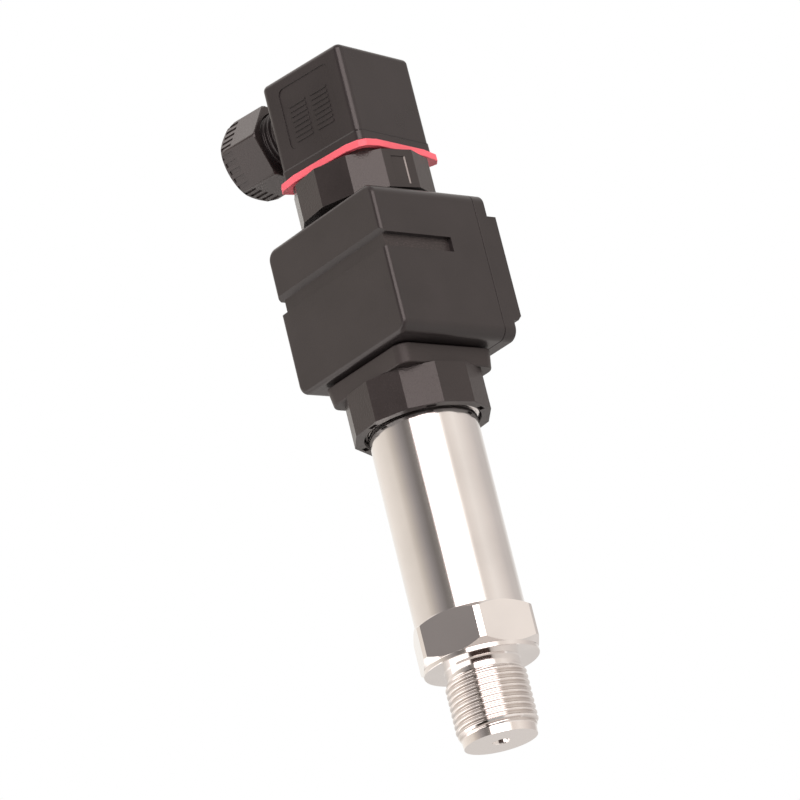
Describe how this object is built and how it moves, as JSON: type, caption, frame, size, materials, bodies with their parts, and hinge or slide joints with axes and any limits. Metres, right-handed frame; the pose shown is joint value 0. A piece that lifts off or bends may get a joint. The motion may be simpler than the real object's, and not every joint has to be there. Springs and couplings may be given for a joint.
{
  "type": "pressure transmitter",
  "caption": "Pressure transmitter with a steel body and threaded process fitting, a plug-on display housing and an angled cable connector with a gland.",
  "frame": {"origin": "on the axis of the process fitting, at the mouth of its pressure port", "axes": "+Z along the axis from the process fitting towards the cable connector; -Y towards the display's front; the connector and its gland are turned 8.16 degrees about +Z from +X"},
  "size_m": [0.0557, 0.0398, 0.1771],
  "materials": {
    "steel": "turned, satin",
    "tube_steel": "drawn tube, satin",
    "cell_steel": "fine turned",
    "screw_steel": "zinc plated",
    "contact_brass": "tin plated",
    "seal_rubber": "matt",
    "flange_rubber": "matt, moulded",
    "gasket_rubber": "soft, satin",
    "black_plastic": "moulded, fine grain",
    "box_plastic": "moulded, fine grain",
    "lid_plastic": "moulded, fine grain",
    "connector_plastic": "moulded, fine grain",
    "gland_plastic": "moulded, satin",
    "insert_plastic": "moulded",
    "light_plastic": "moulded, natural",
    "key_plastic": "satin",
    "window_pane": "clear, tinted",
    "display_body": "cast face",
    "board": "lacquered laminate",
    "component_body": "moulded",
    "flex_print": "polyimide film",
    "lead_sleeve": "smooth sleeve"
  },
  "bodies": {
    "transmitter": {"process_fitting": "steel", "sensor_cell": "cell_steel", "sensor_diaphragm": "cell_steel", "sensor_seal": "seal_rubber", "sensor_retaining_ring": "steel", "sensor_pins": "contact_brass", "sensor_flex": "flex_print", "housing_tube": "tube_steel", "board_holder": "light_plastic", "amplifier_board": "board", "board_parts": "component_body", "plug_leads": "lead_sleeve", "tube_seal": "seal_rubber", "lower_plug_base": "black_plastic", "lower_contact_blades": "contact_brass", "flange_seal": "flange_rubber", "socket_insert": "insert_plastic", "socket_contacts": "contact_brass", "display_box": "box_plastic", "display_lid": "lid_plastic", "display_window": "window_pane", "display_board": "board", "board_screws": "screw_steel", "digit_module": "display_body", "key_switches": "component_body", "display_processor": "component_body", "display_leads": "lead_sleeve", "upper_plug_base": "black_plastic", "base_lock_nut": "insert_plastic", "upper_contact_blades": "contact_brass", "connector_gasket": "gasket_rubber", "terminal_block": "insert_plastic", "wire_terminals": "contact_brass", "terminal_screws": "screw_steel", "connector_housing": "connector_plastic", "screw_seal": "seal_rubber", "fixing_screw": "screw_steel", "gland_grommet": "seal_rubber"},
    "gland_thrust": {"gland_washer": "light_plastic"},
    "gland_nut": {"gland_nut": "gland_plastic"},
    "key_left": {"setting_key_left": "key_plastic"},
    "key_middle": {"setting_key_middle": "key_plastic"},
    "key_right": {"setting_key_right": "key_plastic"}
  },
  "joints": [
    {"name": "gland_travel", "type": "slide", "parent": "transmitter", "child": "gland_thrust", "axis": [0.9899, 0.1419, 0], "range_m": [0, 0.006]},
    {"name": "gland_turn", "type": "hinge", "parent": "gland_thrust", "child": "gland_nut", "pos_m": [0, 0, 0.167], "axis": [0.9899, 0.1419, 0], "range_deg": [0, 1440]},
    {"name": "key_left_press", "type": "slide", "parent": "transmitter", "child": "key_left", "axis": [0, 1, 0], "range_m": [0, 0.0005], "stiffness_N_per_m": 300, "springref_m": -0.001},
    {"name": "key_middle_press", "type": "slide", "parent": "transmitter", "child": "key_middle", "axis": [0, 1, 0], "range_m": [0, 0.0005], "stiffness_N_per_m": 300, "springref_m": -0.001},
    {"name": "key_right_press", "type": "slide", "parent": "transmitter", "child": "key_right", "axis": [0, 1, 0], "range_m": [0, 0.0005], "stiffness_N_per_m": 300, "springref_m": -0.001}
  ],
  "couplings": [
    {"joint": "gland_travel", "follows": "gland_turn", "m_per_rad": 0.00023873}
  ]
}
